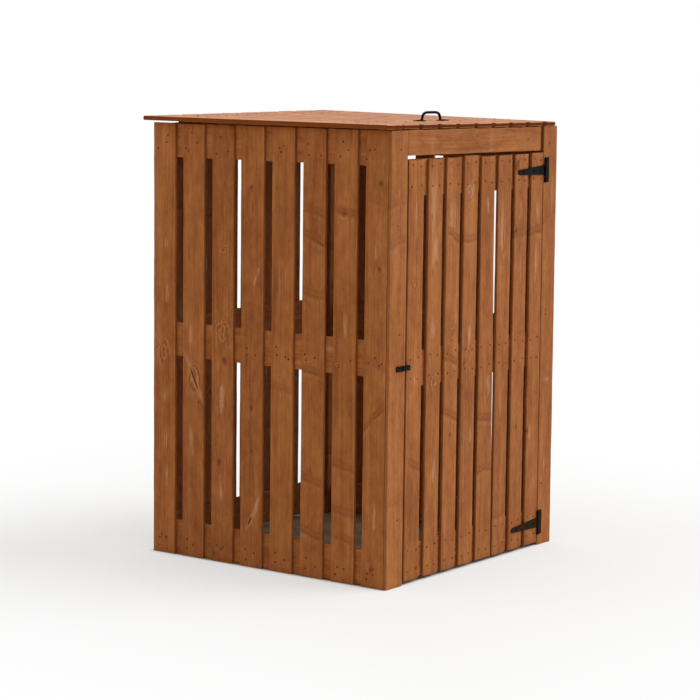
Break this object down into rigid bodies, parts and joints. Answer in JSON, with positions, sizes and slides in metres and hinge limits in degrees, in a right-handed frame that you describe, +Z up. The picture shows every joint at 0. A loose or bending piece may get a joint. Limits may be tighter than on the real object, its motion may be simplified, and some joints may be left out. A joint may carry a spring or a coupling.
{
  "type": "wheelie bin store",
  "caption": "Slatted timber store that hides one wheeled bin, with a hinged front door on black strap hinges, a turn button and a rear-hinged slatted lid with a bow handle.",
  "frame": {"origin": "centre of the bounding box's base, on the ground", "axes": "+Z up; the door and front frame face -Y; +X to the right as seen from the front"},
  "size_m": [0.8402, 0.8292, 1.2416],
  "materials": {
    "stained_timber": "rough-sawn, brown stained",
    "door_timber": "rough-sawn, orange-brown stained",
    "lid_timber": "rough-sawn, weathered stain",
    "black_ironmongery": "black, satin",
    "nail_steel": "dull galvanised"
  },
  "bodies": {
    "frame": {"left_board_1": "stained_timber", "left_board_2": "stained_timber", "left_board_3": "stained_timber", "left_board_4": "stained_timber", "left_board_5": "stained_timber", "left_board_6": "stained_timber", "left_board_7": "stained_timber", "left_board_8": "stained_timber", "left_rail_bottom": "stained_timber", "left_rail_middle": "stained_timber", "left_rail_top": "stained_timber", "right_boards": "stained_timber", "right_rail_bottom": "stained_timber", "right_rail_middle": "stained_timber", "right_rail_top": "stained_timber", "back_boards": "stained_timber", "back_rail_bottom": "stained_timber", "back_rail_middle": "stained_timber", "back_rail_top": "stained_timber", "corner_batten_front_left": "stained_timber", "corner_batten_front_right": "stained_timber", "corner_batten_back_left": "stained_timber", "corner_batten_back_right": "stained_timber", "front_post_left": "door_timber", "front_post_right": "door_timber", "front_rail": "door_timber", "head_batten": "stained_timber", "door_hinge_plate_upper": "black_ironmongery", "door_hinge_plate_lower": "black_ironmongery", "door_hinge_pins": "black_ironmongery", "lid_hinge_back_leaves": "black_ironmongery", "lid_hinge_pins": "black_ironmongery", "side_nails": "nail_steel", "back_nails": "nail_steel", "front_nails": "nail_steel", "frame_screws": "black_ironmongery"},
    "door": {"door_board_1": "door_timber", "door_board_2": "door_timber", "door_board_3": "door_timber", "door_board_4": "door_timber", "door_board_5": "door_timber", "door_board_6": "door_timber", "door_board_7": "door_timber", "door_board_8": "door_timber", "door_ledge_bottom": "door_timber", "door_ledge_middle": "door_timber", "door_ledge_top": "door_timber", "door_hinge_strap_upper": "black_ironmongery", "door_hinge_strap_lower": "black_ironmongery", "door_nails": "nail_steel", "door_screws": "black_ironmongery"},
    "lid": {"lid_boards": "lid_timber", "lid_batten_front": "lid_timber", "lid_batten_back": "lid_timber", "lid_handle": "black_ironmongery", "lid_hinge_leaves": "black_ironmongery", "lid_nails": "nail_steel", "lid_screws": "black_ironmongery"},
    "button": {"turn_button": "black_ironmongery"}
  },
  "joints": [
    {"name": "door_hinge", "type": "hinge", "parent": "frame", "child": "door", "pos_m": [0.3545, -0.41112, 0.572], "axis": [0, 0, 1], "range_deg": [0, 110]},
    {"name": "lid_hinge", "type": "hinge", "parent": "frame", "child": "lid", "pos_m": [0.014, 0.40018, 1.20945], "axis": [-1, 0, 0], "range_deg": [0, 95]},
    {"name": "button_turn", "type": "hinge", "parent": "frame", "child": "button", "pos_m": [-0.33, -0.40912, 0.581], "axis": [0, 1, 0], "range_deg": [-90, 90]}
  ]
}
